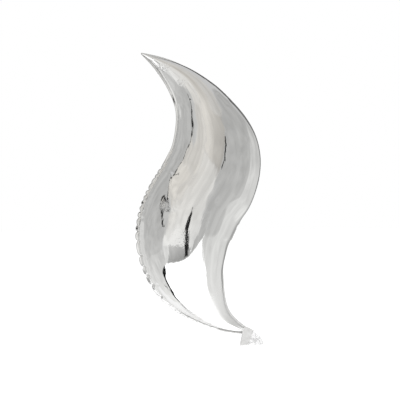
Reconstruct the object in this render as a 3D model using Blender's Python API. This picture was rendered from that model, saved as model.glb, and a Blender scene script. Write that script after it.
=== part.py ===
# Mermaid tail foil balloon: one inflated silver fluke, curved like an S.
# Two film panels are sealed face to face round a flat margin. At the lower end they narrow to a
# flat neck, where the film folds, and past the crease hangs the tail tab with its clear valve.
# Metres. The seam plane is y = 0, the front faces -Y and +Z is up. The origin is the centre of
# the gas, so the balloon floats there. A film is far thinner than any solid here, so each sheet
# is drawn thicker than it is, as its named thickness says.

import math

import bmesh
import bpy
import numpy as np
from mathutils import Vector

# Film panels
FILM = 0.001             # thickness of a panel
SEAL_GAP = 0.0003        # between the two panels at the seal
SEAM_MARGIN = 0.007      # width of the flat sealed margin
SECTION_COUNT = 44       # sections along the balloon
ARC_STEPS = 12           # facets across a panel's bulge
LEAST_INSIDE = 0.4       # least share of a narrow bulge that its inside keeps

# The balloon's spine, from its tip to the crease at its neck, in evenly spaced stations.
# Columns: x, z, half width out to the seam's cut edge, half depth of the gas
SPINE = (
    (-0.168, 0.418, 0.002, 0.0008),
    (-0.090, 0.373, 0.032, 0.024),
    (-0.022, 0.310, 0.063, 0.053),
    (0.021, 0.241, 0.098, 0.083),
    (0.046, 0.154, 0.132, 0.111),
    (0.035, 0.068, 0.141, 0.122),
    (-0.009, -0.011, 0.144, 0.124),
    (-0.043, -0.098, 0.142, 0.121),
    (-0.033, -0.196, 0.120, 0.103),
    (0.005, -0.271, 0.085, 0.074),
    (0.064, -0.339, 0.039, 0.030),
    (0.138, -0.378, 0.012, 0.0004),
)

# Tail tab, past the crease. Its outlines are measured from the middle of the crease:
# out from the balloon, then up along the crease.
CREASE_RADIUS = 0.0029   # the rolled fold that turns in the neck
CREASE_CLEARANCE = 0.0003
CREASE_FACETS = 12       # round half of the fold
TAB_INNER = 0.00085      # faces of a tab ply, from the seam plane
TAB_OUTER = 0.00185
TAB_OUTLINE = (
    (0.0, 0.012),
    (0.0, -0.012),
    (0.003, -0.045),
    (0.0255, -0.034),
    (0.025, 0.010),
)
VALVE_INNER = 0.00015    # faces of a valve film, from the seam plane
VALVE_OUTER = 0.00055
VALVE_OUTLINE = (
    (0.012, -0.007),
    (0.017, -0.036),
    (0.064, -0.0185),
    (0.064, -0.010),
    (0.052, 0.0),
    (0.032, 0.007),
)

FRONT = -1.0             # the side of the seam plane that a sheet is on
BACK = 1.0


def clear_scene():
    """Start from an empty scene, without reading factory settings."""
    for old in list(bpy.data.objects):
        bpy.data.objects.remove(old, do_unlink=True)


def principled(name, colour, metallic, roughness, alpha=1.0):
    """A plain Principled material."""
    material = bpy.data.materials.new(name)
    material.use_nodes = True
    shader = material.node_tree.nodes["Principled BSDF"]
    shader.inputs["Base Color"].default_value = (*colour, 1.0)
    shader.inputs["Metallic"].default_value = metallic
    shader.inputs["Roughness"].default_value = roughness
    shader.inputs["Alpha"].default_value = alpha
    return material


def smooth_rows(rows, count):
    """Read count rows from the natural cubic spline through evenly spaced rows."""
    knots = np.array(rows)
    last = len(knots) - 1
    system = np.eye(last + 1)
    bend = np.zeros_like(knots)
    for index in range(1, last):
        system[index, index - 1:index + 2] = (1.0, 4.0, 1.0)
        bend[index] = 6.0 * (knots[index - 1] - 2.0 * knots[index] + knots[index + 1])
    curvature = np.linalg.solve(system, bend)
    samples = []
    for place in np.linspace(0.0, last, count):
        index = min(int(place), last - 1)
        after = place - index
        before = 1.0 - after
        sample = before * knots[index] + after * knots[index + 1]
        sample += (before ** 3 - before) * curvature[index] / 6.0
        sample += (after ** 3 - after) * curvature[index + 1] / 6.0
        samples.append(sample)
    return samples


def spine_sections():
    """Sections along the spine: centre, direction across, half width and half depth."""
    rows = smooth_rows(SPINE, SECTION_COUNT)
    centres = [Vector((row[0], 0.0, row[1])) for row in rows]
    sections = []
    for index, row in enumerate(rows):
        ahead = centres[min(index + 1, SECTION_COUNT - 1)]
        behind = centres[max(index - 1, 0)]
        heading = (ahead - behind).normalized()
        across = Vector((-heading.z, 0.0, heading.x))
        sections.append([centres[index], across, row[2], row[3]])
    return sections


def crease_frame():
    """The middle of the crease, the way out of the balloon, and the way along the crease."""
    centre, along, _, _ = spine_sections()[-1]
    outward = Vector((along.z, 0.0, -along.x))
    return centre, outward, along


def panel_section(centre, across, half_width, half_depth, side):
    """One closed section of a film panel: margin, bulge, margin, and back along the inside."""
    margin = SEAM_MARGIN * min(1.0, half_width / (2.0 * SEAM_MARGIN))
    bulge = half_width - margin
    inner_bulge = max(bulge - FILM, LEAST_INSIDE * bulge)
    inside = SEAL_GAP / 2.0
    outside = inside + FILM
    turns = [math.pi * step / ARC_STEPS for step in range(ARC_STEPS + 1)]
    profile = [(half_width, outside)]
    for turn in turns:
        profile.append((bulge * math.cos(turn), outside + half_depth * math.sin(turn)))
    profile.append((-half_width, outside))
    profile.append((-half_width, inside))
    for turn in reversed(turns):
        profile.append((inner_bulge * math.cos(turn), inside + half_depth * math.sin(turn)))
    profile.append((half_width, inside))
    return [centre + across * u + Vector((0.0, side * depth, 0.0)) for u, depth in profile]


def finish(name, shape, material, sharp_degrees=35.0):
    """Turn a closed bmesh into a named object with its faces outward and its round faces smooth."""
    bmesh.ops.recalc_face_normals(shape, faces=shape.faces)
    mesh = bpy.data.meshes.new(name)
    shape.to_mesh(mesh)
    shape.free()
    mesh.shade_smooth()
    mesh.set_sharp_from_angle(angle=math.radians(sharp_degrees))
    mesh.materials.append(material)
    piece = bpy.data.objects.new(name, mesh)
    bpy.context.collection.objects.link(piece)
    return piece


def extrude_through(shape, rings):
    """Close a solid through rings of points by extruding its end face from ring to ring."""
    first = shape.faces.new([shape.verts.new(point) for point in rings[0]])
    cap = first
    for ring in rings[1:]:
        made = bmesh.ops.extrude_face_region(shape, geom=[cap])["geom"]
        if cap is not first:
            shape.faces.remove(cap)
        cap = next(part for part in made if isinstance(part, bmesh.types.BMFace))
        for vertex, point in zip(cap.verts, ring):
            vertex.co = point


def film_panel(name, side, material):
    """One film panel, from the tip to just short of the crease."""
    sections = spine_sections()
    _, outward, _ = crease_frame()
    sections[-1][0] = sections[-1][0] - outward * (CREASE_RADIUS + CREASE_CLEARANCE)
    shape = bmesh.new()
    extrude_through(shape, [panel_section(*section, side) for section in sections])
    return finish(name, shape, material)


def flat_sheet(outline, near, far, side):
    """A flat sheet with the given outline, between two distances from the crease's middle plane."""
    rings = []
    for depth in (near, far):
        rings.append([Vector((out, side * depth, up)) for out, up in outline])
    shape = bmesh.new()
    extrude_through(shape, rings)
    return shape


def fold_half(side):
    """Half of the rolled fold, along the crease from end to end of the neck."""
    half_length = SPINE[-1][2]
    first = math.asin(SEAL_GAP / 2.0 / CREASE_RADIUS)
    sweep = math.pi - 2.0 * first
    turns = [first + sweep * step / CREASE_FACETS for step in range(CREASE_FACETS + 1)]
    rings = []
    for up in (-half_length, half_length):
        ring = []
        for turn in turns:
            out = CREASE_RADIUS * math.cos(turn)
            ring.append(Vector((out, side * CREASE_RADIUS * math.sin(turn), up)))
        rings.append(ring)
    shape = bmesh.new()
    extrude_through(shape, rings)
    return shape


def place_at_crease(piece, holder):
    """Hang a tail piece on the crease's empty, which is on the fold's axis."""
    piece.parent = holder


def tab_ply(name, side, material, holder):
    """One foil ply of the tail tab, joined to its half of the rolled fold."""
    ply = finish(name, flat_sheet(TAB_OUTLINE, TAB_INNER, TAB_OUTER, side), material)
    fold = finish(name + "_fold", fold_half(side), material)
    join = ply.modifiers.new("join_fold", "BOOLEAN")
    join.operation = "UNION"
    join.solver = "EXACT"
    join.object = fold
    fold.hide_render = True
    fold.display_type = "WIRE"
    place_at_crease(ply, holder)
    place_at_crease(fold, holder)


def valve_film(name, side, material, holder):
    """One clear film of the filling valve, which lies between the tab's plies."""
    film = finish(name, flat_sheet(VALVE_OUTLINE, VALVE_INNER, VALVE_OUTER, side), material)
    place_at_crease(film, holder)


clear_scene()
foil = principled("silver_foil", (0.80, 0.80, 0.80), 1.0, 0.12)
foil_back = principled("silver_foil_back", (0.76, 0.76, 0.77), 1.0, 0.14)
tab_foil = principled("tab_foil", (0.74, 0.74, 0.73), 1.0, 0.28)
valve_clear = principled("clear_valve_film", (0.90, 0.89, 0.86), 0.0, 0.25, 0.55)

film_panel("front_film", FRONT, foil)
film_panel("back_film", BACK, foil_back)

crease_centre, crease_outward, crease_along = crease_frame()
crease = bpy.data.objects.new("crease_axis", None)
crease.location = crease_centre
crease.rotation_euler = (0.0, math.atan2(crease_along.x, crease_along.z), 0.0)
bpy.context.collection.objects.link(crease)

tab_ply("tail_front_ply", FRONT, tab_foil, crease)
tab_ply("tail_back_ply", BACK, tab_foil, crease)
valve_film("valve_front_film", FRONT, valve_clear, crease)
valve_film("valve_back_film", BACK, valve_clear, crease)
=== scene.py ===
import math

import bpy
import numpy as np
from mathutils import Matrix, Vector, noise


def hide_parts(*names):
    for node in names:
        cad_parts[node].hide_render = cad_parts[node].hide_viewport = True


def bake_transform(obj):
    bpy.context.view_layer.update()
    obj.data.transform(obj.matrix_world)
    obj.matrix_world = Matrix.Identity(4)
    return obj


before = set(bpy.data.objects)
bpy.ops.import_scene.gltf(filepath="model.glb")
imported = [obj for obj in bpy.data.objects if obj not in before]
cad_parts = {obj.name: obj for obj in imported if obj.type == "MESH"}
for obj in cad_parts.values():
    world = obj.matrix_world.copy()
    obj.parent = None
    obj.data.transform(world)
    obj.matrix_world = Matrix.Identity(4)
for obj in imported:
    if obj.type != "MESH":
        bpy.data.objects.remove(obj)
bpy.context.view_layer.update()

# Camera
# The balloon hangs in front of a bright white sweep and is seen level, with a long lens, a little
# from its left. So its left edge is the seam itself, and its right side bulges past the seam.
LOOK_AT = Vector((0.005, 0.0, 0.0015))
CAMERA_DISTANCE = 3.2
CAMERA_AZIMUTH = math.radians(-15.0)
CAMERA_LENS = 100.0

bpy.ops.object.select_all(action="DESELECT")
bpy.ops.object.camera_add()
camera = bpy.context.object
camera.name = "studio_camera"
camera.data.lens = CAMERA_LENS
way_back = Vector((math.sin(CAMERA_AZIMUTH), -math.cos(CAMERA_AZIMUTH), 0.0))
camera.location = LOOK_AT + way_back * CAMERA_DISTANCE
camera.rotation_euler = (-way_back).to_track_quat("-Z", "Y").to_euler()
bpy.context.scene.camera = camera
bpy.context.scene.view_settings.view_transform = "Standard"


# Studio walls
# A mirror shows its room, so pale screens stand all round the balloon, far off, each with its own
# soft glow, and dark strips hang where screens meet. Only the foil sees them: behind, the camera
# sees plain white. Bearings turn from the camera, 90 on its right, and heights rise from level.
SCREEN_DISTANCE = 30.0
SCREEN_STEP = 0.3        # each screen hangs this much nearer than the one before it
SCREEN_CUTS = 9          # how finely it is cut before it is curved
RIM_INSET = 0.01         # any small inset: its points are moved to the rim's inner outline
LEAST_MITRE = 0.5        # keeps a sharp corner's rim from running far out
STUDIO_TURN = CAMERA_AZIMUTH
# The noise that makes a screen's glow uneven: its scale, its range, and the glow's range
CLOUD_SCALE = 0.2
CLOUD_RANGE = (0.3, 0.7)
CLOUD_GLOW = (0.88, 1.12)
# Each screen: how far its rim fades, in degrees, tint at its foot and top, glow at its foot's left
# and right, glow at its top's left and right, and its corners as bearing and height
NEUTRAL = (1.0, 1.0, 0.985)
PALE_WARM = (1.0, 0.98, 0.94)
WARM = (1.0, 0.965, 0.905)
SCREENS = {
    "left_back": (
        2.0, NEUTRAL, NEUTRAL, (0.78, 0.74), (0.72, 0.68),
        ((-170, -34), (-116, -34), (-108, -22), (-104, -5), (-112, 8), (-170, 8)),
    ),
    "left_back_top": (
        3.0, NEUTRAL, NEUTRAL, (0.56, 0.54), (0.50, 0.50),
        ((-170, 8), (-112, 8), (-120, 50), (-170, 50)),
    ),
    "left_wall_foot": (
        0.3, NEUTRAL, NEUTRAL, (0.76, 0.70), (0.62, 0.60),
        ((-108, -16), (-117, -33), (-120, -46), (-67, -46), (-65, -40), (-53, -35), (-45, -31),
         (-45, -16)),
    ),
    "left_floor": (
        0.3, NEUTRAL, NEUTRAL, (0.86, 0.84), (0.80, 0.70),
        ((-120, -46), (-125, -66), (-111, -71), (-95, -67), (-77, -59), (-72, -56), (-67, -46)),
    ),
    "left_wall": (
        0.8, NEUTRAL, NEUTRAL, (0.57, 0.55), (0.50, 0.46),
        ((-126, 50), (-124, 18), (-107, -5), (-112, -21), (-62, -22), (-46, -20), (-43, -8),
         (-40, -1), (-46, 7), (-51, 12), (-57, 18.5), (-63, 22), (-69, 25.5), (-75, 30),
         (-80, 37), (-74, 44), (-66, 50)),
    ),
    "front_cup": (
        0.3, NEUTRAL, NEUTRAL, (0.38, 0.22), (0.68, 0.46),
        ((-29, -14), (-31, -24), (-34, -28), (-36, -31), (-20, -31), (-7, -30), (8, -27.5),
         (21.5, -24.4), (30, -14)),
    ),
    "left_strip": (
        0.3, NEUTRAL, NEUTRAL, (0.72, 0.74), (0.76, 0.84),
        ((-43, -8), (-31, -9), (-29, -17), (-31, -24), (-34, -28), (-36, -31), (-46, -31),
         (-45, -25), (-43, -16)),
    ),
    "front_side": (
        0.3, NEUTRAL, NEUTRAL, (0.40, 0.50), (0.54, 0.56),
        ((21.5, -24.4), (31, -21.4), (40, -19.3), (46, -18), (49, -12), (44, -7), (33, -3),
         (34.5, -9), (33.5, -13.7), (29, -18.3)),
    ),
    "front_left": (
        1.2, NEUTRAL, WARM, (0.74, 0.88), (0.60, 0.70),
        ((-43, -17), (-18, -17.5), (-18, 30), (-24, 33), (-33, 35), (-43, 36), (-52, 35),
         (-66, 39), (-77, 31), (-69, 25.5), (-63, 22), (-57, 18.5), (-51, 12), (-46, 7),
         (-40, -1), (-43, -8)),
    ),
    "front_right": (
        1.2, NEUTRAL, PALE_WARM, (0.96, 0.76), (0.71, 0.71),
        ((-18, -17.5), (25, -19.5), (29, -18.3), (33.5, -13.7), (34.5, -9), (33, -3),
         (28.5, 1.5), (27.5, 4), (24, 8), (23, 11), (17, 15), (10, 19), (2, 22), (-6, 25.5),
         (-18, 30)),
    ),
    "front_shade": (
        3.0, NEUTRAL, NEUTRAL, (0.55, 0.60), (0.53, 0.58),
        ((-43, -4), (-37, -4), (-35, 8), (-38, 16), (-44, 26), (-58, 32), (-66, 27),
         (-57, 18.5), (-51, 12), (-46, 7), (-40, -1)),
    ),
    "warm_left": (
        3.0, WARM, WARM, (0.75, 0.77), (0.78, 0.78),
        ((-86, 40), (-77, 31), (-66, 39), (-52, 35), (-43, 36), (-33, 35), (-24, 33),
         (-17, 30), (-6, 25.5), (-6, 62), (-40, 62), (-76, 50)),
    ),
    "warm_top": (
        3.0, PALE_WARM, PALE_WARM, (0.72, 0.48), (0.82, 0.62),
        ((-6, 38), (36, 38), (58, 49), (66, 60), (-6, 62)),
    ),
    "warm_right": (
        1.5, WARM, WARM, (0.63, 0.34), (0.73, 0.46),
        ((-6, 25.5), (2, 22), (10, 19), (17, 15), (23, 11), (27, 19), (30, 26), (33, 35),
         (40, 42), (-6, 42)),
    ),
    "right_side": (
        2.0, NEUTRAL, NEUTRAL, (0.80, 0.76), (0.62, 0.50),
        ((90, -30), (90, 10), (92, 20), (100, 30), (122, 31), (152, 24), (152, -30)),
    ),
    "right_foot": (
        0.3, NEUTRAL, NEUTRAL, (0.86, 0.88), (0.60, 0.80),
        ((46, -18.8), (53.5, -21.4), (60, -22.8), (68.5, -23.6), (73.5, -25.6), (74.5, -31),
         (81, -34), (95, -36), (152, -37), (152, -26), (106, -14), (60, -14)),
    ),
    "right_wall": (
        2.0, NEUTRAL, NEUTRAL, (0.53, 0.57), (0.53, 0.40),
        ((23, 11), (24, 8), (27.5, 4), (28.5, 1.5), (33, -3), (44, -7), (49, -12), (47, -17),
         (56, -18.5), (65, -19.6), (76, -20.2), (84, -18.5), (90, -14), (91.5, -5),
         (91, 6), (97, 17), (106, 28), (122, 31), (120, 42), (106, 51), (81, 53), (58, 49),
         (40, 42), (33, 35), (30, 26), (27, 19)),
    ),
    "back_screen": (
        1.5, NEUTRAL, NEUTRAL, (0.26, 0.22), (0.04, 0.04),
        ((148, -8), (199, -8), (199, 60), (136, 60), (139, 28), (147, 10)),
    ),
    "back_foot": (
        1.5, NEUTRAL, NEUTRAL, (0.66, 0.56), (0.40, 0.34),
        ((148, -30), (204, -30), (204, -8), (148, -8)),
    ),
    "gap_left": (
        0.1, NEUTRAL, NEUTRAL, (0.02, 0.02), (0.02, 0.02),
        ((-43, 3.5), (-45.4, 7.3), (-50.2, 13), (-56.2, 20), (-62.4, 23.8), (-69, 26.6),
         (-77, 31.8), (-85.5, 40.1), (-86.5, 39), (-77.6, 30.4), (-69, 24.6), (-63.4, 20.5),
         (-57.6, 16.7), (-51.6, 10.3), (-46.8, 4.7)),
    ),
    "gap_left_foot": (
        0.1, NEUTRAL, NEUTRAL, (0.02, 0.02), (0.02, 0.02),
        ((-86.9, 39.6), (-82.6, 46.6), (-72, 51.2), (-65.8, 43), (-67.6, 42), (-72, 49.2),
         (-81.4, 45), (-85.2, 39)),
    ),
    "gap_streak": (
        0.3, NEUTRAL, NEUTRAL, (0.02, 0.02), (0.02, 0.02),
        ((-45.2, 12.6), (-48, 8), (-50, 8.5), (-47, 12.8)),
    ),
    "gap_right": (
        0.1, NEUTRAL, NEUTRAL, (0.03, 0.03), (0.03, 0.03),
        ((31.0, 33), (34.4, 34), (35.1, 30), (33.8, 23), (33.5, 16), (28.6, 10.6), (26.2, 13),
         (30.3, 17.2), (31.0, 23), (31.0, 30)),
    ),
    "gap_front": (
        0.2, NEUTRAL, NEUTRAL, (0.02, 0.02), (0.02, 0.02),
        ((9.7, 10), (12.0, 6), (11.4, 0), (12.8, -5), (14.2, -9), (16.4, -14), (17.6, -19),
         (17.6, -24.5), (10.4, -25.5), (10.2, -20), (9.6, -16), (7.6, -10), (5.8, -6),
         (5.8, -2), (7.8, 2)),
    ),
    "gap_belly": (
        0.1, NEUTRAL, NEUTRAL, (0.01, 0.01), (0.01, 0.01),
        ((-49, -32.2), (-58, -35.2), (-68.5, -38.5), (-70.5, -47), (-74, -54), (-80, -56.4),
         (-96, -64.6), (-112, -68), (-136, -67), (-152, -63), (-172, -52), (-176, -56),
         (-154, -67.5), (-136, -71), (-112, -72.5), (-95, -69.5),
         (-77, -63), (-68, -59.4), (-61.6, -48.5), (-59.4, -43), (-51, -37.4)),
    ),
    "gap_belly_foot": (
        0.1, NEUTRAL, NEUTRAL, (0.01, 0.01), (0.01, 0.01),
        ((-90, -45), (-85.5, -52), (-80, -56), (-76, -59), (-82, -53.5), (-87.5, -46)),
    ),
}


def rim_points(corners, rim):
    """Each corner moved square to its outline, half a rim outward and half a rim inward."""
    points = np.array(corners, dtype=float)
    ahead = np.roll(points, -1, axis=0) - points
    ahead /= np.linalg.norm(ahead, axis=1)[:, None]
    shifted = np.roll(points, -1, axis=0)
    area = np.sum(points[:, 0] * shifted[:, 1] - shifted[:, 0] * points[:, 1])
    square = np.sign(area) * np.stack((ahead[:, 1], -ahead[:, 0]), axis=1)
    before = np.roll(square, 1, axis=0)
    mitre = (square + before) / np.maximum(1.0 + np.sum(square * before, axis=1), LEAST_MITRE)[:, None]
    return points + 0.5 * rim * mitre, points - 0.5 * rim * mitre


def studio_place(bearing, height, distance):
    """The point that far off, at a bearing and height in degrees."""
    turn = math.radians(bearing) + STUDIO_TURN
    rise = math.radians(height)
    level = math.cos(rise) * distance
    return (math.sin(turn) * level, -math.cos(turn) * level, math.sin(rise) * distance)


def add_node(tree, kind, **settings):
    """Add a node, with its own settings and, by name, its inputs' values."""
    made = tree.nodes.new(kind)
    for name, value in settings.items():
        if hasattr(made, name):
            setattr(made, name, value)
        else:
            made.inputs[name.replace("_", " ").title()].default_value = value
    return made


def screen_glow(name):
    """A slightly uneven light of the screen's own colour, held on its points, clear at its rim."""
    material = bpy.data.materials.new(name)
    material.use_nodes = True
    tree = material.node_tree
    tree.nodes.clear()
    shade = add_node(tree, "ShaderNodeVertexColor", layer_name="glow")
    spot = add_node(tree, "ShaderNodeTexCoord")
    cloud = add_node(tree, "ShaderNodeTexNoise", scale=CLOUD_SCALE, detail=3.0)
    uneven = add_node(tree, "ShaderNodeMapRange", from_min=CLOUD_RANGE[0], from_max=CLOUD_RANGE[1],
                      to_min=CLOUD_GLOW[0], to_max=CLOUD_GLOW[1])
    light = add_node(tree, "ShaderNodeEmission")
    clear = add_node(tree, "ShaderNodeBsdfTransparent")
    mix = add_node(tree, "ShaderNodeMixShader")
    out = add_node(tree, "ShaderNodeOutputMaterial")
    tree.links.new(spot.outputs["Object"], cloud.inputs["Vector"])
    tree.links.new(cloud.outputs["Fac"], uneven.inputs["Value"])
    tree.links.new(shade.outputs["Color"], light.inputs["Color"])
    tree.links.new(uneven.outputs["Result"], light.inputs["Strength"])
    tree.links.new(shade.outputs["Alpha"], mix.inputs["Fac"])
    tree.links.new(clear.outputs["BSDF"], mix.inputs[1])
    tree.links.new(light.outputs["Emission"], mix.inputs[2])
    tree.links.new(mix.outputs["Shader"], out.inputs["Surface"])
    return material


def studio_screen(name, rim, foot_tint, top_tint, foot, top, corners, distance):
    """One screen: its outline filled flat, given a rim, cut finely, then curved round the balloon."""
    bpy.ops.object.select_all(action="DESELECT")
    bpy.ops.mesh.primitive_circle_add(vertices=len(corners), fill_type="NGON")
    screen = bpy.context.object
    screen.name = name
    outer, inner = rim_points(corners, rim)
    for vertex, place in zip(screen.data.vertices, outer):
        vertex.co = (*place, 0.0)
    bpy.ops.object.mode_set(mode="EDIT")
    bpy.ops.mesh.select_all(action="SELECT")
    bpy.ops.mesh.inset(thickness=RIM_INSET)
    bpy.ops.object.mode_set(mode="OBJECT")
    glow = screen.data.color_attributes.new("glow", "FLOAT_COLOR", "POINT")
    for vertex, shade in zip(screen.data.vertices, glow.data):
        shade.color = (1.0, 1.0, 1.0, 1.0 if vertex.select else 0.0)
    for edge in screen.data.edges:
        first, last = sorted(edge.vertices)
        if first < len(corners) <= last:
            screen.data.vertices[last].co = (*inner[first], 0.0)
    bpy.ops.object.mode_set(mode="EDIT")
    bpy.ops.mesh.select_all(action="SELECT")
    bpy.ops.mesh.quads_convert_to_tris()
    bpy.ops.mesh.subdivide(number_cuts=SCREEN_CUTS)
    bpy.ops.object.mode_set(mode="OBJECT")
    bearings, heights = zip(*corners)
    glow = screen.data.color_attributes["glow"]
    for vertex, shade in zip(screen.data.vertices, glow.data):
        aside = (vertex.co.x - min(bearings)) / (max(bearings) - min(bearings))
        up = (vertex.co.y - min(heights)) / (max(heights) - min(heights))
        low = foot[0] + (foot[1] - foot[0]) * aside
        high = top[0] + (top[1] - top[0]) * aside
        tint = Vector(foot_tint).lerp(Vector(top_tint), up)
        shade.color = (*(tint * (low + (high - low) * up)), shade.color[3])
        vertex.co = studio_place(vertex.co.x, vertex.co.y, distance)
    screen.data.materials.append(screen_glow(name))
    screen.visible_camera = False
    screen.visible_diffuse = False
    screen.visible_shadow = False


for order, (name, settings) in enumerate(SCREENS.items()):
    studio_screen("screen_" + name, *settings, SCREEN_DISTANCE - SCREEN_STEP * order)

# Behind the screens the room is a plain wash, brightest low down. The camera sees white instead.
# Columns: place on the way from straight down, 0, to straight up, 1, and brightness there
ROOM_WASH = (
    (0.0, 0.97), (0.15, 0.92), (0.21, 0.87), (0.27, 0.79), (0.34, 0.72), (0.42, 0.68),
    (0.50, 0.61), (0.60, 0.56), (0.73, 0.52), (0.87, 0.62),
)

room = bpy.data.worlds.new("studio")
bpy.context.scene.world = room
room.use_nodes = True
room_tree = room.node_tree
room_nodes, room_links = room_tree.nodes, room_tree.links
room_way = add_node(room_tree, "ShaderNodeTexCoord")
room_split = add_node(room_tree, "ShaderNodeSeparateXYZ")
room_height = add_node(room_tree, "ShaderNodeMapRange", from_min=-1.0)
room_ramp = add_node(room_tree, "ShaderNodeValToRGB")
room_ramp.color_ramp.interpolation = "EASE"
while len(room_ramp.color_ramp.elements) < len(ROOM_WASH):
    room_ramp.color_ramp.elements.new(0.5)
for stop, (place, level) in zip(room_ramp.color_ramp.elements, ROOM_WASH):
    stop.position = place
    stop.color = (level, level, level, 1.0)
room_links.new(room_way.outputs["Generated"], room_split.inputs["Vector"])
room_links.new(room_split.outputs["Z"], room_height.inputs["Value"])
room_links.new(room_height.outputs["Result"], room_ramp.inputs["Fac"])
room_links.new(room_ramp.outputs["Color"], room_nodes["Background"].inputs["Color"])
room_white = add_node(room_tree, "ShaderNodeBackground")
room_white.inputs["Color"].default_value = (1.0, 1.0, 1.0, 1.0)
room_choice = add_node(room_tree, "ShaderNodeMixShader")
room_ray = add_node(room_tree, "ShaderNodeLightPath")
room_links.new(room_ray.outputs["Is Camera Ray"], room_choice.inputs["Fac"])
room_links.new(room_nodes["Background"].outputs["Background"], room_choice.inputs[1])
room_links.new(room_white.outputs["Background"], room_choice.inputs[2])
room_links.new(room_choice.outputs["Shader"], room_nodes["World Output"].inputs["Surface"])


# Studio table and floor
# The balloon floats over a glowing white table, which is the white in its belly. The table's front
# and left edges are where that white stops. The floor is broad, plain and pale.
FLOOR_HEIGHT = -0.662
FLOOR_SIZE = 40.0
FLOOR_GLOW = 0.6
TABLE_DROP = 33.0
TABLE_GLOW = 0.8
WHITE = (0.88, 0.88, 0.88, 1.0)
# The table's corners, as bearing and height
TABLE = (
    (-46, -26), (-34, -26), (-7, -28), (13, -24), (30, -19), (46, -15), (60, -18), (80, -26),
    (100, -32), (120, -38), (146, -48), (170, -70), (-160, -70), (-130, -68), (-108, -62),
    (-95, -54), (-70, -40), (-52, -31),
)


def white_surface(name, glow):
    """Matt white, with a glow of its own that keeps it free of shade."""
    material = bpy.data.materials.new(name)
    material.use_nodes = True
    shader = material.node_tree.nodes["Principled BSDF"]
    shader.inputs["Base Color"].default_value = WHITE
    shader.inputs["Roughness"].default_value = 0.9
    shader.inputs["Specular IOR Level"].default_value = 0.0
    shader.inputs["Emission Color"].default_value = (1.0, 1.0, 1.0, 1.0)
    shader.inputs["Emission Strength"].default_value = glow
    return material


bpy.ops.object.select_all(action="DESELECT")
bpy.ops.mesh.primitive_circle_add(vertices=len(TABLE), fill_type="NGON")
table = bpy.context.object
table.name = "studio_table"
for vertex, (bearing, height) in zip(table.data.vertices, TABLE):
    vertex.co = studio_place(bearing, height, TABLE_DROP / math.sin(math.radians(-height)))
table.data.materials.append(white_surface("table_white", TABLE_GLOW))
table.visible_camera = False

bpy.ops.object.select_all(action="DESELECT")
bpy.ops.mesh.primitive_plane_add(size=FLOOR_SIZE, location=(0.0, 0.0, FLOOR_HEIGHT))
floor = bpy.context.object
floor.name = "studio_floor"
bpy.ops.object.transform_apply(location=True, rotation=True, scale=True)
floor.data.materials.append(white_surface("floor_white", FLOOR_GLOW))
floor.visible_glossy = False


# Film panels
# Two sheets of silver foil film, cut to the fluke's outline and heat sealed to each other all
# round in a flat margin. The gas pulls them taut along the middle, and gathers them in puckers
# where the seam runs outward round a bend, because the flat cut is longer there than the bend.
FILM = 0.00022
SEAL_GAP = 0.00012
SEAM_MARGIN = 0.007
FULL_GIRTH = 0.36        # from seam to seam over the widest bulge
LEAST_DEPTH = 0.0003
ALONG = 460              # rows along the balloon
BULGE_STEPS = 76         # faces across the bulge, crowded toward both seams
CROWDING = 0.74
MARGIN_STEPS = 5
ARC_SAMPLES = 721        # fine steps by which a bulge's girth is measured
SPINE_SAMPLES = 3000     # and the spine's length

# The spine, from the tip to the crease at the neck, in evenly spaced stations.
# Columns: x, z, half width out to the seam's cut edge, half depth of the gas
SPINE = (
    (-0.168, 0.418, 0.002, 0.0008),
    (-0.090, 0.373, 0.032, 0.024),
    (-0.022, 0.310, 0.063, 0.053),
    (0.021, 0.241, 0.098, 0.083),
    (0.046, 0.154, 0.132, 0.111),
    (0.035, 0.068, 0.141, 0.122),
    (-0.009, -0.011, 0.144, 0.124),
    (-0.043, -0.098, 0.142, 0.121),
    (-0.033, -0.196, 0.120, 0.103),
    (0.005, -0.271, 0.085, 0.074),
    (0.064, -0.339, 0.039, 0.030),
    (0.138, -0.378, 0.012, 0.0004),
)

# Deep puckers round the left seam's belly: distance along the seam from the tip, how far the
# edge is drawn in, how deep the crease runs into the bulge, and how far the margin leans
BELLY_PUCKERS = (
    (0.569, 0.0030, 0.0030, 0.0021),
    (0.596, 0.0036, 0.0040, 0.0019),
    (0.639, 0.0040, 0.0046, 0.0023),
    (0.672, 0.0038, 0.0042, 0.0026),
    (0.698, 0.0036, 0.0040, 0.0029),
    (0.729, 0.0034, 0.0038, 0.0029),
    (0.772, 0.0028, 0.0034, 0.0030),
    (0.805, 0.0024, 0.0028, 0.0030),
)
# Small crimps are drawn at random: where each run starts and stops on its seam, the ranges of
# their pitch and depth, and how far the margin leans to and fro, as a share of the depth
LEFT_CRIMPS = (
    (0.375, 0.440, (0.012, 0.019), (0.0016, 0.0030), 0.30),
    (0.445, 0.555, (0.013, 0.021), (0.0030, 0.0052), 0.30),
)
LOWER_CRIMPS = (0.832, 0.975, (0.018, 0.030), (0.0007, 0.0014), 0.0)
LOWER_LEAN = 0.0026
RIGHT_CRIMPS = (0.250, 0.610, (0.024, 0.036), (0.0030, 0.0060), 0.25)
RIGHT_PUCKERS = ((0.665, 0.0030, 0.0014, 0.0006), (0.696, 0.0040, 0.0018, 0.0006))
RIGHT_SEAM = 2.0         # added to places on the right seam, so that its crinkles are others
CRIMP_SEED = 7
CRIMP_CREASE = 0.45      # a crimp's crease, as a share of its depth
# How far a pucker reaches: past the last one, to each side of its crease, and into the bulge by
# its scallop and by its crease. A seam that is scalloped this deep has fully gathered film.
PUCKER_FADE = 0.006
CREASE_WIDTH = 0.0026
SCALLOP_REACH = 0.0115
CREASE_REACH = 0.030
FULLY_GATHERED = 0.003
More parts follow.
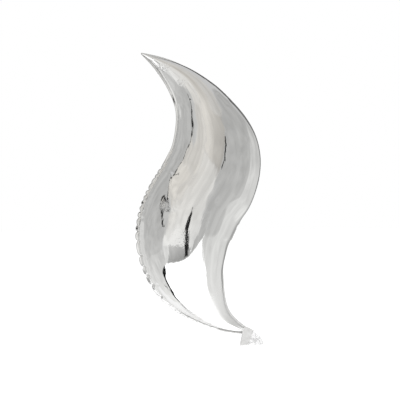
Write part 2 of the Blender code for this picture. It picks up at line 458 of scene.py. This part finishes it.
# The right seam's bend bulges out past its seam, which is drawn in behind it. Both fade where the
# balloon is narrower than these half widths.
BEND_START, BEND_STOP, BEND_FADE = 0.05, 0.63, 0.07
BEND_SWELL, SWELL_WIDTH = 0.0110, 0.065
BEND_DRAW, DRAW_WIDTH = 0.0060, 0.09
DRAW_REACH = 0.034
# A rolled ridge in the slack film beside the left seam, from the tip to where the bend turns
RIDGE_RISE = (0.03, 0.10)
RIDGE_FALL = (0.325, 0.375)
RIDGE_IN = 0.0046
RIDGE_WIDTH = 0.0018
RIDGE_HEIGHT = 0.0040
# The tip's bulge leans to its right, down to where it has filled out: how much, and where
TIP_SHEAR = 0.42
TIP_FADE = (0.10, 0.25)
# Lean of the left margin above its puckers, and where that lean rises and falls
MARGIN_LEAN = 0.0019
LEAN_RISE = (0.05, 0.25)
LEAN_FALL = (0.33, 0.375)
# Where the weld shows dark, a dark line that is partly the seal itself and partly painted shade
# in the seam's groove: places along the left seam, and how dark and how wide it is there, then
# how dark and how wide it is all along the right seam
WELD_PLACES = (0.0, 0.33, 0.40, 0.80, 0.86, 1.10)
WELD_PAINTED_SHADE = (0.70, 0.60, 0.15, 0.15, 0.98, 0.92)
WELD_WIDTH = (0.0012, 0.0012, 0.0010, 0.0010, 0.0030, 0.0026)
RIGHT_WELD_SHADE = (0.45, 0.0010)
# Painted shade on the left margin's crimped film, and darker painted shade along its cut edge,
# where the ruffled margin lies in shadow: places along the seam, the margin's painted shade
# there, and the edge's
MARGIN_PLACES = (0.0, 0.33, 0.38, 0.57, 0.62, 0.76, 0.86, 0.96, 1.10)
MARGIN_PAINTED_SHADE = (0.0, 0.0, 0.0, 0.0, 0.0, 0.30, 0.30, 0.12, 0.10)
EDGE_PAINTED_SHADE = (0.30, 0.30, 0.90, 0.90, 0.36, 0.0, 0.0, 0.0, 0.0)
EDGE_WIDTH = 0.0016
# Shallow folds left in the front panel's film: x and z of both ends, half width and height
FOLDS = (
    (-0.101, 0.075, -0.105, -0.018, 0.0100, 0.0038),
    (0.068, 0.272, 0.043, 0.302, 0.0040, -0.0009),
    (0.078, 0.275, 0.071, 0.304, 0.0035, 0.0010),
    (0.015, -0.020, -0.006, -0.054, 0.0040, 0.0006),
)
# Share of the balloon's length over which the film turns paler, and at last dull, to its neck
DULL_START, DULL_STOP = 0.58, 0.86
# The neck's gathers: the share of the length over which they rise, how many lie across, how high
NECK_RISE = (0.88, 0.985)
NECK_RIDGES = 5
NECK_RIDGE = 0.0007
# Share of the length over which the film turns crushed at the neck, and how much
NECK_CRUSHED = (0.82, 0.97)
NECK_CRUSH = 0.35
# The film's faint ripple: scale across and along of its broad and fine waves, and their heights
BROAD_RIPPLE = (16.0, 9.0, 0.00065)
FINE_RIPPLE = (42.0, 24.0, 0.00020)
RIPPLE_RISE = (0.004, 0.040)     # distance from a seam over which it sets in
# Patches where the film is crushed and half dull: x, z, half width, half height, how much
CRUSHED = (
    (-0.101, 0.380, 0.013, 0.011, 0.90),
    (-0.058, 0.337, 0.010, 0.009, 0.90),
    (-0.118, -0.018, 0.009, 0.011, 0.55),
    (-0.088, -0.100, 0.020, 0.028, 0.18),
)


def smooth_rows(rows, places):
    """Read the natural cubic spline through evenly spaced rows, at places from 0 to 1."""
    knots = np.array(rows)
    last = len(knots) - 1
    system = np.eye(last + 1)
    bend = np.zeros_like(knots)
    for index in range(1, last):
        system[index, index - 1:index + 2] = (1.0, 4.0, 1.0)
        bend[index] = 6.0 * (knots[index - 1] - 2.0 * knots[index] + knots[index + 1])
    curvature = np.linalg.solve(system, bend)
    spot = np.clip(places, 0.0, 1.0) * last
    index = np.clip(spot.astype(int), 0, last - 1)
    after = (spot - index)[:, None]
    before = 1.0 - after
    samples = before * knots[index] + after * knots[index + 1]
    samples += (before ** 3 - before) * curvature[index] / 6.0
    samples += (after ** 3 - after) * curvature[index + 1] / 6.0
    return samples


def eased(value, start, stop):
    """0 before start, 1 past stop, and a smooth rise between."""
    share = np.clip((value - start) / (stop - start), 0.0, 1.0)
    return share * share * (3.0 - 2.0 * share)


def travelled(points):
    """Distance along a line of points, from its first."""
    steps = np.linalg.norm(np.diff(points, axis=0), axis=1)
    return np.concatenate(([0.0], np.cumsum(steps)))


def spine_stations():
    """Stations evenly spaced along the spine: rows, and the direction across each."""
    fine = np.linspace(0.0, 1.0, SPINE_SAMPLES)
    walked = travelled(smooth_rows(SPINE, fine)[:, :2])
    rows = smooth_rows(SPINE, np.interp(np.linspace(0.0, walked[-1], ALONG + 1), walked, fine))
    heading = np.gradient(rows[:, :2], axis=0)
    heading /= np.linalg.norm(heading, axis=1)[:, None]
    return rows, np.stack((-heading[:, 1], heading[:, 0]), axis=1)


def crimps(draw, start, stop, pitch, depth, lean):
    """A run of puckers between two places on a seam, each pitch and depth drawn from a range,
    with the margin leaning to and fro by a share of that depth."""
    run = []
    place = start
    while place < stop:
        scallop = draw.uniform(*depth)
        run.append((place, scallop, CRIMP_CREASE * scallop, lean * scallop))
        place += draw.uniform(*pitch)
        lean = -lean
    return run


def pucker_rows():
    """The puckers of the left and of the right seam, from the tip down."""
    draw = np.random.default_rng(CRIMP_SEED)
    left = []
    for run in LEFT_CRIMPS:
        left += crimps(draw, *run)
    left += BELLY_PUCKERS
    left += [(*crimp[:3], LOWER_LEAN) for crimp in crimps(draw, *LOWER_CRIMPS)]
    right = crimps(draw, *RIGHT_CRIMPS)
    right += RIGHT_PUCKERS
    return left, right


def seam_gather(along, puckers):
    """At each place on a seam: how far its edge is scalloped in, how deep the nearest crease
    is, and how far the margin leans out of the seam's plane."""
    places, depths, creases, leans = np.array(puckers).T
    after = np.clip(np.searchsorted(places, along), 1, len(places) - 1)
    share = np.clip((along - places[after - 1]) / (places[after] - places[after - 1]), 0.0, 1.0)
    depth = depths[after - 1] * (1.0 - share) + depths[after] * share
    lobe = 4.0 * share * (1.0 - share)
    beyond = np.maximum(places[0] - along, along - places[-1])
    fade = np.exp(-np.maximum(beyond, 0.0) / PUCKER_FADE)
    scallop = depth * (1.0 - lobe ** 0.6) * fade
    away = np.abs(along[:, None] - places[None, :])
    nearest = np.argmin(away, axis=1)
    crease = creases[nearest] * np.exp(-(np.min(away, axis=1) / CREASE_WIDTH) ** 1.3)
    lean = leans[after - 1] * lobe ** 0.4 * fade
    return scallop, crease, lean


def film_ripple(points):
    """A faint unevenness of the taut film, out along each point's own way."""
    broad_across, broad_along, broad_height = BROAD_RIPPLE
    fine_across, fine_along, fine_height = FINE_RIPPLE
    lift = np.empty(len(points))
    for index, (x, y, z) in enumerate(points):
        broad = noise.noise(Vector((x * broad_across, y * broad_across + 5.0, z * broad_along)))
        fine = noise.noise(Vector((x * fine_across, y * fine_across - 3.0, z * fine_along)))
        lift[index] = broad_height * broad + fine_height * fine
    return lift


def panel_points(side):
    """One panel's outer face, in rows along the balloon of points from its right edge to its
    left. With each point come its place along the nearest seam, its distance in from that seam
    and how much the film is gathered there, then how far it is crushed and dulled, and how dark
    its weld line and left margin are painted, mostly painted shade, and then its run: how far
    along the balloon it is, and across."""
    rows, across = spine_stations()
    station_share = np.linspace(0.0, 1.0, ALONG + 1)
    margin = SEAM_MARGIN * np.minimum(1.0, rows[:, 2] / (2.0 * SEAM_MARGIN))
    bulge = rows[:, 2] - margin
    depth = np.maximum(rows[:, 3], LEAST_DEPTH)
    seam_left = travelled(rows[:, :2] - across * bulge[:, None])
    seam_right = travelled(rows[:, :2] + across * bulge[:, None])
    left_puckers, right_puckers = pucker_rows()
    gathers = (seam_gather(seam_right, right_puckers), seam_gather(seam_left, left_puckers))
    bend = eased(seam_right, BEND_START - BEND_FADE, BEND_START)
    bend *= 1.0 - eased(seam_right, BEND_STOP, BEND_STOP + BEND_FADE)
    swollen = BEND_SWELL * bend * np.minimum(1.0, bulge / SWELL_WIDTH)
    drawn_in = swollen + BEND_DRAW * bend * np.minimum(1.0, bulge / DRAW_WIDTH) ** 1.5
    weld_painted_shade = np.interp(seam_left, WELD_PLACES, WELD_PAINTED_SHADE)
    weld_width = np.interp(seam_left, WELD_PLACES, WELD_WIDTH)
    tip = 1.0 - eased(seam_left, *TIP_FADE)
    open_margin = MARGIN_LEAN * eased(seam_left, *LEAN_RISE) * (1.0 - eased(seam_left, *LEAN_FALL))
    margin_painted_shade = np.interp(seam_left, MARGIN_PLACES, MARGIN_PAINTED_SHADE)
    edge_painted_shade = np.interp(seam_left, MARGIN_PLACES, EDGE_PAINTED_SHADE)
    ridge_height = RIDGE_HEIGHT * eased(seam_left, *RIDGE_RISE)
    ridge_height *= 1.0 - eased(seam_left, *RIDGE_FALL)
    neck = eased(station_share, *NECK_RISE)
    even = np.linspace(0.0, 1.0, BULGE_STEPS + 1)
    crowded = even - CROWDING * np.sin(2.0 * math.pi * even) / (2.0 * math.pi)
    turns = np.linspace(0.0, math.pi, ARC_SAMPLES)
    steps = np.arange(MARGIN_STEPS, 0, -1) / MARGIN_STEPS
    columns = BULGE_STEPS + 1 + 2 * MARGIN_STEPS
    points = np.zeros((ALONG + 1, columns, 3))
    places = np.zeros((ALONG + 1, columns, 3))
    wear_and_shade = np.zeros((ALONG + 1, columns, 3))
    run = np.zeros((ALONG + 1, columns, 3))
    run[:, :, 0] = travelled(rows[:, :2])[:, None]
    for station in range(ALONG + 1):
        wide, deep, flat = bulge[station], depth[station], margin[station]
        right_wide = wide + swollen[station]
        reach = np.where(np.cos(turns) > 0.0, right_wide, wide)
        girth = travelled(np.stack((reach * np.cos(turns), deep * np.sin(turns)), axis=1))
        turn = np.interp(crowded * girth[-1], girth, turns)
        whole = girth[-1]
        from_right = np.concatenate((-flat * steps, crowded * whole, whole + flat * steps[::-1]))
        from_left = whole - from_right
        run[station, :, 1] = FULL_GIRTH * from_right / whole
        reach = np.where(np.cos(turn) > 0.0, right_wide, wide)
        out_u, out_y = np.cos(turn) / reach, np.sin(turn) / deep
        length = np.hypot(out_u, out_y)
        ones, level = np.ones(MARGIN_STEPS), np.zeros(MARGIN_STEPS)
        out_u = np.concatenate((ones, out_u / length, -ones))
        out_y = np.concatenate((level, out_y / length, level))
        bulge_u = reach * np.cos(turn)
        u = np.concatenate((right_wide + flat * steps, bulge_u, -wide - flat * steps[::-1]))
        y = np.concatenate((level, deep * np.sin(turn), level))
        u = u + TIP_SHEAR * tip[station] * y
        inward = drawn_in[station] * np.exp(-(np.maximum(from_right, 0.0) / DRAW_REACH) ** 1.5)
        lean = np.zeros(columns)
        for (scallop, crease, tilt), distance in zip(gathers, (from_right, from_left)):
            edge = np.maximum(distance + flat, 0.0)
            inward += scallop[station] * np.exp(-(edge / SCALLOP_REACH) ** 1.3)
            inward += crease[station] * np.exp(-(edge / CREASE_REACH) ** 2.0)
            lean += tilt[station] * np.maximum(-distance / flat, 0.0)
        lean += open_margin[station] * np.maximum(-from_left / flat, 0.0)
        inward -= ridge_height[station] * np.exp(-((from_left - RIDGE_IN) / RIDGE_WIDTH) ** 2)
        u = u - out_u * inward
        y = np.maximum(y - out_y * inward, 0.0)
        across_share = np.clip(from_right / whole, 0.0, 1.0)
        ridge = 0.5 - 0.5 * np.cos(2.0 * math.pi * NECK_RIDGES * across_share)
        y = y + NECK_RIDGE * neck[station] * ridge
        points[station, :, 0] = rows[station, 0] + across[station, 0] * u
        points[station, :, 1] = side * (y + SEAL_GAP / 2.0 + FILM) + lean
        points[station, :, 2] = rows[station, 1] + across[station, 1] * u
        on_right = from_right < from_left
        places[station, :, 0] = np.where(on_right, seam_right[station] + RIGHT_SEAM, seam_left[station])
        places[station, :, 1] = np.minimum(from_right, from_left)
        tight_right = gathers[0][0][station] + 0.5 * drawn_in[station]
        tight = np.where(on_right, tight_right, gathers[1][0][station])
        places[station, :, 2] = np.clip(tight / FULLY_GATHERED, 0.0, 1.0)
        # The weld's dark line, partly the seal itself and partly painted shade in the seam's groove
        dark = np.where(on_right, RIGHT_WELD_SHADE[0], weld_painted_shade[station])
        half_width = np.where(on_right, RIGHT_WELD_SHADE[1], weld_width[station])
        wear_and_shade[station, :, 2] = dark * np.exp(-(places[station, :, 1] / half_width) ** 2)
        # Painted shade on the left margin's crimped film, darker along its cut edge
        cut_edge = edge_painted_shade[station] * np.exp(-((from_left + flat) / EDGE_WIDTH) ** 2)
        grey = (margin_painted_shade[station] + cut_edge) * (from_left < 0.0)
        wear_and_shade[station, :, 2] = np.maximum(wear_and_shade[station, :, 2], grey)
    wear_and_shade[:, :, 0] = NECK_CRUSH * eased(station_share, *NECK_CRUSHED)[:, None]
    for x, z, half_width, half_height, much in CRUSHED:
        away = ((points[:, :, 0] - x) / half_width) ** 2 + ((points[:, :, 2] - z) / half_height) ** 2
        wear_and_shade[:, :, 0] = np.maximum(wear_and_shade[:, :, 0], much * np.exp(-away))
    wear_and_shade[:, :, 1] = eased(station_share, DULL_START, DULL_STOP)[:, None]
    return points, places, wear_and_shade, run


def fold_panel(points):
    """Press the shallow folds into a panel, in or out of its bulge."""
    folded = points.copy()
    for x0, z0, x1, z1, half_width, height in FOLDS:
        run = np.array((x1 - x0, z1 - z0))
        away = points[:, :, (0, 2)] - np.array((x0, z0))
        share = np.clip(away @ run / (run @ run), 0.0, 1.0)
        off = np.linalg.norm(away - share[:, :, None] * run, axis=2)
        folded[:, :, 1] -= height * np.exp(-(off / half_width) ** 2)
    return folded


def ripple_panel(points, places):
    """Lay the film's faint ripple on its bulge, fading out towards the seams."""
    along = np.gradient(points, axis=0)
    aside = np.gradient(points, axis=1)
    out = np.cross(along, aside)
    out /= np.maximum(np.linalg.norm(out, axis=2, keepdims=True), 1e-12)
    lift = film_ripple(points.reshape(-1, 3)).reshape(points.shape[:2])
    hold = eased(places[:, :, 1], *RIPPLE_RISE)
    return points + out * (lift * hold)[:, :, None]


SILVER = (0.88, 0.88, 0.875)
PALE_SILVER = (1.0, 1.0, 0.995)
# Colour toward which the weld line and the left margin are darkened, mostly painted shade
WELD_AND_SHADE_GREY = (0.15, 0.15, 0.15)
# Roughness of taut film, what full crinkling adds, and what the neck adds at its very end
TAUT_ROUGH, CRINKLE_ROUGH, NECK_ROUGH = 0.05, 0.11, 0.28
NECK_LATENESS = 14.0
# Crinkles square to the seams, and streaks along the balloon: scales along and across
CRINKLE_SCALE = (260.0, 34.0, 0.0)
STREAK_SCALE = (7.0, 66.0, 0.0)
# Distance in from a seam where crinkles end, and where they are full
CRINKLE_END, CRINKLE_FULL = 0.034, 0.002
# How strong crinkles are on taut film, and what gathering adds
CRINKLE_LEAST, CRINKLE_MORE = 0.10, 0.85


def foil_material(name):
    """Bright metallised film. It is finely crinkled where a seam gathers it or it is crushed,
    faintly streaked along its length, pale and at last dull to its neck, and dark with painted
    shade on the weld line and the left margin."""
    foil = bpy.data.materials.new(name)
    foil.use_nodes = True
    tree = foil.node_tree
    links = tree.links
    shader = tree.nodes["Principled BSDF"]
    shader.inputs["Metallic"].default_value = 1.0
    place = add_node(tree, "ShaderNodeAttribute", attribute_name="film_place")
    wear_and_shade = add_node(tree, "ShaderNodeAttribute", attribute_name="film_wear_and_shade")
    run = add_node(tree, "ShaderNodeAttribute", attribute_name="film_run")
    part = add_node(tree, "ShaderNodeSeparateXYZ")
    links.new(place.outputs["Vector"], part.inputs["Vector"])
    worn_and_shaded = add_node(tree, "ShaderNodeSeparateXYZ")
    links.new(wear_and_shade.outputs["Vector"], worn_and_shaded.inputs["Vector"])

    near_seam = add_node(tree, "ShaderNodeMapRange", interpolation_type="SMOOTHSTEP",
                         from_min=CRINKLE_END, from_max=CRINKLE_FULL)
    links.new(part.outputs["Y"], near_seam.inputs["Value"])
    gathered = add_node(tree, "ShaderNodeMath", operation="MULTIPLY_ADD")
    gathered.inputs[1].default_value = CRINKLE_MORE
    gathered.inputs[2].default_value = CRINKLE_LEAST
    links.new(part.outputs["Z"], gathered.inputs[0])
    crinkled = add_node(tree, "ShaderNodeMath", operation="MULTIPLY")
    links.new(near_seam.outputs["Result"], crinkled.inputs[0])
    links.new(gathered.outputs["Value"], crinkled.inputs[1])

    stretch = add_node(tree, "ShaderNodeVectorMath", operation="MULTIPLY")
    stretch.inputs[1].default_value = CRINKLE_SCALE
    links.new(place.outputs["Vector"], stretch.inputs[0])
    radial = add_node(tree, "ShaderNodeTexNoise", scale=1.0, detail=2.0)
    links.new(stretch.outputs["Vector"], radial.inputs["Vector"])
    radial_bump = add_node(tree, "ShaderNodeBump", distance=0.0009)
    links.new(radial.outputs["Fac"], radial_bump.inputs["Height"])
    links.new(crinkled.outputs["Value"], radial_bump.inputs["Strength"])

    lengthen = add_node(tree, "ShaderNodeVectorMath", operation="MULTIPLY")
    lengthen.inputs[1].default_value = STREAK_SCALE
    links.new(run.outputs["Vector"], lengthen.inputs[0])
    streaks = add_node(tree, "ShaderNodeTexNoise", scale=1.0, detail=3.0)
    links.new(lengthen.outputs["Vector"], streaks.inputs["Vector"])
    streak_bump = add_node(tree, "ShaderNodeBump", strength=0.15, distance=0.002)
    links.new(streaks.outputs["Fac"], streak_bump.inputs["Height"])
    links.new(radial_bump.outputs["Normal"], streak_bump.inputs["Normal"])

    spot = add_node(tree, "ShaderNodeTexCoord")
    folds = add_node(tree, "ShaderNodeTexNoise", scale=150.0, detail=3.0, distortion=0.6)
    links.new(spot.outputs["Object"], folds.inputs["Vector"])
    crush_bump = add_node(tree, "ShaderNodeBump", distance=0.0030)
    links.new(folds.outputs["Fac"], crush_bump.inputs["Height"])
    links.new(worn_and_shaded.outputs["X"], crush_bump.inputs["Strength"])
    links.new(streak_bump.outputs["Normal"], crush_bump.inputs["Normal"])
    links.new(crush_bump.outputs["Normal"], shader.inputs["Normal"])

    dull = add_node(tree, "ShaderNodeMath", operation="MULTIPLY_ADD")
    dull.inputs[1].default_value = CRINKLE_ROUGH
    dull.inputs[2].default_value = TAUT_ROUGH
    links.new(crinkled.outputs["Value"], dull.inputs[0])
    late = add_node(tree, "ShaderNodeMath", operation="POWER")
    late.inputs[1].default_value = NECK_LATENESS
    links.new(worn_and_shaded.outputs["Y"], late.inputs[0])
    duller = add_node(tree, "ShaderNodeMath", operation="MULTIPLY_ADD")
    duller.inputs[1].default_value = NECK_ROUGH
    links.new(late.outputs["Value"], duller.inputs[0])
    links.new(dull.outputs["Value"], duller.inputs[2])
    links.new(duller.outputs["Value"], shader.inputs["Roughness"])

    pale = add_node(tree, "ShaderNodeMix", data_type="RGBA")
    pale.inputs["A"].default_value = (*SILVER, 1.0)
    pale.inputs["B"].default_value = (*PALE_SILVER, 1.0)
    links.new(worn_and_shaded.outputs["Y"], pale.inputs["Factor"])
    # Darkened toward that colour on the weld and the left margin: partly the seal's own line, mostly
    # painted shade
    colour = add_node(tree, "ShaderNodeMix", data_type="RGBA")
    colour.inputs["B"].default_value = (*WELD_AND_SHADE_GREY, 1.0)
    links.new(worn_and_shaded.outputs["Z"], colour.inputs["Factor"])
    links.new(pale.outputs["Result"], colour.inputs["A"])
    links.new(colour.outputs["Result"], shader.inputs["Base Color"])
    return foil


def film_panel(name, side, material):
    """One panel: a grid laid over its bulge and its flat margins, then given the film's thickness."""
    points, places, wear_and_shade, run = panel_points(side)
    if side < 0.0:
        points, places = fold_panel(points)[:, ::-1], places[:, ::-1]
        wear_and_shade, run = wear_and_shade[:, ::-1], run[:, ::-1]
    points = ripple_panel(points, places)
    columns = points.shape[1]
    bpy.ops.object.select_all(action="DESELECT")
    bpy.ops.mesh.primitive_grid_add(x_subdivisions=ALONG, y_subdivisions=columns - 1, size=1.0)
    panel = bpy.context.object
    panel.name = name
    start = np.empty(len(panel.data.vertices) * 3)
    panel.data.vertices.foreach_get("co", start)
    start = start.reshape(-1, 3)
    station = np.rint((start[:, 0] + 0.5) * ALONG).astype(int)
    column = np.rint((start[:, 1] + 0.5) * (columns - 1)).astype(int)
    panel.data.vertices.foreach_set("co", points[station, column].ravel())
    film_place = panel.data.attributes.new("film_place", "FLOAT_VECTOR", "POINT")
    film_place.data.foreach_set("vector", places[station, column].ravel())
    film_wear_and_shade = panel.data.attributes.new("film_wear_and_shade", "FLOAT_VECTOR", "POINT")
    film_wear_and_shade.data.foreach_set("vector", wear_and_shade[station, column].ravel())
    film_run = panel.data.attributes.new("film_run", "FLOAT_VECTOR", "POINT")
    film_run.data.foreach_set("vector", run[station, column].ravel())
    panel.data.update()
    thicken = panel.modifiers.new("film", "SOLIDIFY")
    thicken.thickness = FILM
    thicken.offset = -1.0
    bpy.ops.object.modifier_apply(modifier="film")
    bpy.ops.object.shade_smooth()
    panel.data.materials.append(material)
    return panel


silver = foil_material("silver_foil_film")
front_panel = film_panel("front_panel", -1.0, silver)
back_panel = film_panel("back_panel", 1.0, silver)


# Tail tab
# Past the neck the same two sheets of film go on as a short crumpled tab, open at its mouth where
# the valve comes out.
CREASE_X, CREASE_Z = SPINE[-1][:2]
TAB_FILM = 0.00025
TAB_STAND = 0.0019       # how far each sheet stands off the seam's plane
TAB_CRUMPLE = 0.0009
CRUMPLE_MEAN = 0.45      # what the crumple's noise comes to on the whole
FREE_FROM, FREE_AT = 0.0, 0.018      # out from the crease, over which the crumple sets in
TAB_SILVER = (0.95, 0.95, 0.945)
SHEET_STEPS = (44, 40)
# Edges of the tab, as out from the crease and up along it: from the neck outward
TAB_LOWER = ((-0.004, -0.0115), (-0.001, -0.0132), (0.0045, -0.0455), (0.0272, -0.0352))
TAB_UPPER = ((-0.004, 0.0115), (0.001, 0.0122), (0.0145, 0.0118), (0.0272, 0.0092))

rows, across = spine_stations()
crease_along = Vector((across[-1, 0], 0.0, across[-1, 1]))
crease_out = Vector((across[-1, 1], 0.0, -across[-1, 0]))
crease_centre = Vector((CREASE_X, 0.0, CREASE_Z))


def along_edge(edge, share):
    """The point at a share of the way along an edge's corners."""
    corners = np.array(edge)
    walked = travelled(corners)
    spot = share * walked[-1]
    return np.array([np.interp(spot, walked, corners[:, axis]) for axis in (0, 1)])


def crumple(out, up, depth):
    """How far the crumpled sheets stand off the seam's plane there, nought at the neck."""
    folds = noise.turbulence(Vector((out * 55.0, 7.0, up * 42.0)), 3, True)
    wave = noise.noise(Vector((out * 30.0, 2.0, up * 26.0)))
    free = float(eased(out, FREE_FROM, FREE_AT))
    return free * depth * (folds - CRUMPLE_MEAN + wave)


def crumpled_material(name):
    """Half dull metallised film, soft with small folds."""
    foil = bpy.data.materials.new(name)
    foil.use_nodes = True
    tree = foil.node_tree
    shader = tree.nodes["Principled BSDF"]
    shader.inputs["Base Color"].default_value = (*TAB_SILVER, 1.0)
    shader.inputs["Metallic"].default_value = 0.65
    shader.inputs["Roughness"].default_value = 0.45
    spot = add_node(tree, "ShaderNodeTexCoord")
    folds = add_node(tree, "ShaderNodeTexNoise", scale=110.0, detail=3.0, distortion=0.8)
    tree.links.new(spot.outputs["Object"], folds.inputs["Vector"])
    bump = add_node(tree, "ShaderNodeBump", strength=0.5, distance=0.0016)
    tree.links.new(folds.outputs["Fac"], bump.inputs["Height"])
    tree.links.new(bump.outputs["Normal"], shader.inputs["Normal"])
    return foil


def loose_sheet(name, lower, upper, offset, thickness, depth, material):
    """One crumpled sheet between a lower and an upper edge, standing off the seam's plane."""
    bpy.ops.object.select_all(action="DESELECT")
    bpy.ops.mesh.primitive_grid_add(
        x_subdivisions=SHEET_STEPS[0], y_subdivisions=SHEET_STEPS[1], size=1.0)
    sheet = bpy.context.object
    sheet.name = name
    for vertex in sheet.data.vertices:
        away, rise = vertex.co.x + 0.5, vertex.co.y + 0.5
        out, up = along_edge(lower, away) * (1.0 - rise) + along_edge(upper, away) * rise
        vertex.co = crease_centre + crease_out * out + crease_along * up
        vertex.co.y += crumple(out, up, depth) + offset
    if offset > 0.0:
        bpy.ops.object.mode_set(mode="EDIT")
        bpy.ops.mesh.select_all(action="SELECT")
        bpy.ops.mesh.flip_normals()
        bpy.ops.object.mode_set(mode="OBJECT")
    thicken = sheet.modifiers.new("film", "SOLIDIFY")
    thicken.thickness = thickness
    thicken.offset = -1.0
    bpy.ops.object.modifier_apply(modifier="film")
    bpy.ops.object.shade_smooth()
    sheet.data.materials.append(material)
    return sheet


tab_silver = crumpled_material("crumpled_foil_film")
tab_front = loose_sheet(
    "tab_front", TAB_LOWER, TAB_UPPER, -TAB_STAND, TAB_FILM, TAB_CRUMPLE, tab_silver)
tab_back = loose_sheet(
    "tab_back", TAB_LOWER, TAB_UPPER, TAB_STAND, TAB_FILM, TAB_CRUMPLE, tab_silver)


# Filling valve
# A flat sleeve of thin clear film, welded between the tab's sheets. It sticks out past them,
# creased from packing, and lets the gas in and shuts by itself.
VALVE_FILM = 0.00012
VALVE_STAND = 0.0004
VALVE_CRUMPLE = 0.0016
VALVE_LOWER = ((0.010, -0.033), (0.027, -0.0345), (0.050, -0.0260), (0.0675, -0.0205))
VALVE_UPPER = ((0.010, 0.0040), (0.035, 0.0058), (0.0556, -0.0010), (0.0685, -0.0111))


def clear_film_material(name):
    """Clear plastic film, less clear along its creases and greyer there with painted shade of the
    folds.
    """
    clear = bpy.data.materials.new(name)
    clear.use_nodes = True
    tree = clear.node_tree
    shader = tree.nodes["Principled BSDF"]
    shader.inputs["Roughness"].default_value = 0.16
    shader.inputs["IOR"].default_value = 1.5
    spot = add_node(tree, "ShaderNodeTexCoord")
    creases = add_node(tree, "ShaderNodeTexVoronoi", feature="DISTANCE_TO_EDGE", scale=70.0)
    tree.links.new(spot.outputs["Object"], creases.inputs["Vector"])
    line = add_node(tree, "ShaderNodeMapRange", from_max=0.10, to_min=0.36, to_max=0.13)
    tree.links.new(creases.outputs["Distance"], line.inputs["Value"])
    tree.links.new(line.outputs["Result"], shader.inputs["Alpha"])
    # Greyer along the crease lines: painted shade of the folds
    tint = add_node(tree, "ShaderNodeMapRange", from_max=0.14, to_min=0.72, to_max=0.92)
    tree.links.new(creases.outputs["Distance"], tint.inputs["Value"])
    tree.links.new(tint.outputs["Result"], shader.inputs["Base Color"])
    return clear


valve_clear = clear_film_material("clear_valve_film")
valve_front = loose_sheet(
    "valve_front", VALVE_LOWER, VALVE_UPPER, -VALVE_STAND, VALVE_FILM, VALVE_CRUMPLE, valve_clear)
valve_back = loose_sheet(
    "valve_back", VALVE_LOWER, VALVE_UPPER, VALVE_STAND, VALVE_FILM, VALVE_CRUMPLE, valve_clear)


# Standing in for the parts
# The film is one sheet from the balloon into its tab. Each piece stands in for its part in
# model.glb, which is hidden, and its transform is baked into its mesh.
for piece, cad_node, finish in (
    (front_panel, "front_film", "silver_foil"),
    (back_panel, "back_film", "silver_foil"),
    (tab_front, "tail_front_ply", "tab_foil"),
    (tab_back, "tail_back_ply", "tab_foil"),
    (valve_front, "valve_front_film", "valve_film"),
    (valve_back, "valve_back_film", "valve_film"),
):
    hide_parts(cad_node)
    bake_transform(piece)
